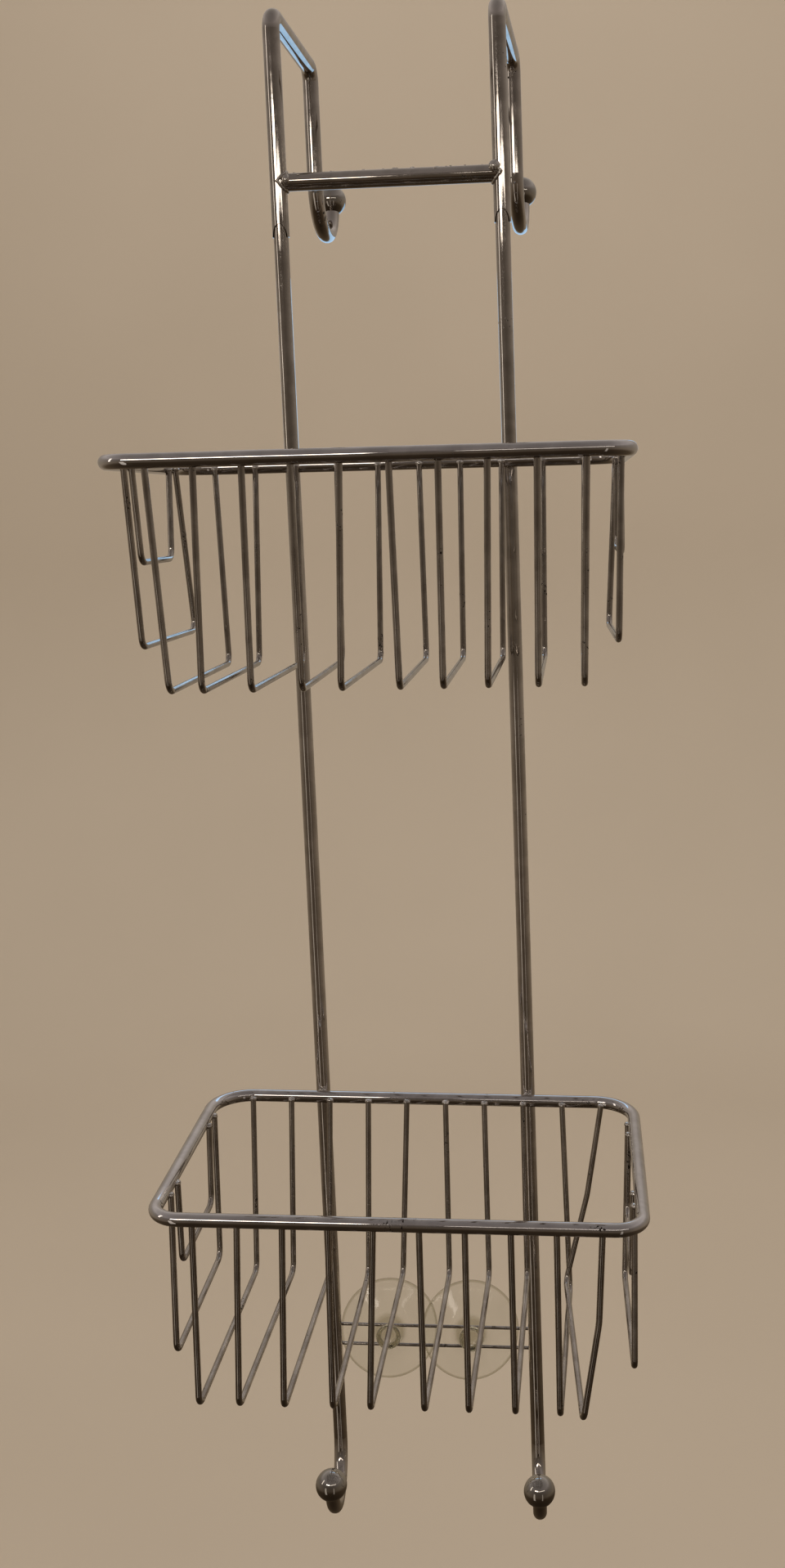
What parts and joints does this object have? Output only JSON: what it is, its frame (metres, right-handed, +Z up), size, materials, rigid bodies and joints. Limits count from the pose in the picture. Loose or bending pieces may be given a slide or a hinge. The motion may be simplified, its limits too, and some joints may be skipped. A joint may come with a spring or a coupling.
{
  "type": "shower caddy",
  "caption": "Over-door wire shower caddy: rimmed wire baskets on two tubular uprights with door hooks, curled feet with ball tips, and suction cups.",
  "frame": {"origin": "midway between the two door hooks, at the underside of their top runs, half way from the front legs to the rear legs", "axes": "+X to the right seen from the front, +Y from the room into the door, +Z up along the uprights"},
  "size_m": [0.2481, 0.3234, 0.8515],
  "materials": {
    "chromed_tube": "bright chrome plate on steel tube",
    "chromed_rim": "bright chrome plate on thick steel wire, lightly pitted",
    "chromed_wire": "bright chrome plate on steel wire",
    "chromed_ball": "bright chrome plate",
    "clear_pvc": "clear soft PVC"
  },
  "bodies": {
    "frame": {"left_hook_tube": "chromed_tube", "left_upright": "chromed_tube", "rear_left_ball": "chromed_ball", "front_left_ball": "chromed_ball", "right_hook_tube": "chromed_tube", "right_upright": "chromed_tube", "rear_right_ball": "chromed_ball", "front_right_ball": "chromed_ball", "hook_cross_bar": "chromed_tube", "upper_rim": "chromed_rim", "upper_rib_01": "chromed_wire", "upper_rib_02": "chromed_wire", "upper_rib_03": "chromed_wire", "upper_rib_04": "chromed_wire", "upper_rib_05": "chromed_wire", "upper_rib_06": "chromed_wire", "upper_rib_07": "chromed_wire", "upper_rib_08": "chromed_wire", "upper_rib_09": "chromed_wire", "upper_rib_10": "chromed_wire", "upper_left_long_end_rib": "chromed_wire", "upper_left_short_end_rib": "chromed_wire", "upper_right_long_end_rib": "chromed_wire", "upper_right_short_end_rib": "chromed_wire", "lower_rim": "chromed_rim", "lower_rib_01": "chromed_wire", "lower_rib_02": "chromed_wire", "lower_rib_03": "chromed_wire", "lower_rib_04": "chromed_wire", "lower_rib_05": "chromed_wire", "lower_rib_06": "chromed_wire", "lower_rib_07": "chromed_wire", "lower_rib_08": "chromed_wire", "lower_rib_09": "chromed_wire", "lower_rib_10": "chromed_wire", "lower_left_long_end_rib": "chromed_wire", "lower_left_short_end_rib": "chromed_wire", "lower_right_long_end_rib": "chromed_wire", "lower_right_short_end_rib": "chromed_wire", "upper_cup_wire": "chromed_wire", "lower_cup_wire": "chromed_wire"},
    "left_cup": {"left_suction_cup": "clear_pvc"},
    "right_cup": {"right_suction_cup": "clear_pvc"}
  },
  "joints": [
    {"name": "left_cup_slide", "type": "slide", "parent": "frame", "child": "left_cup", "axis": [0.9995, 0, -0.0314], "range_m": [-0.02, 0]},
    {"name": "right_cup_slide", "type": "slide", "parent": "frame", "child": "right_cup", "axis": [0.9995, 0, -0.0314], "range_m": [0, 0.026]}
  ]
}
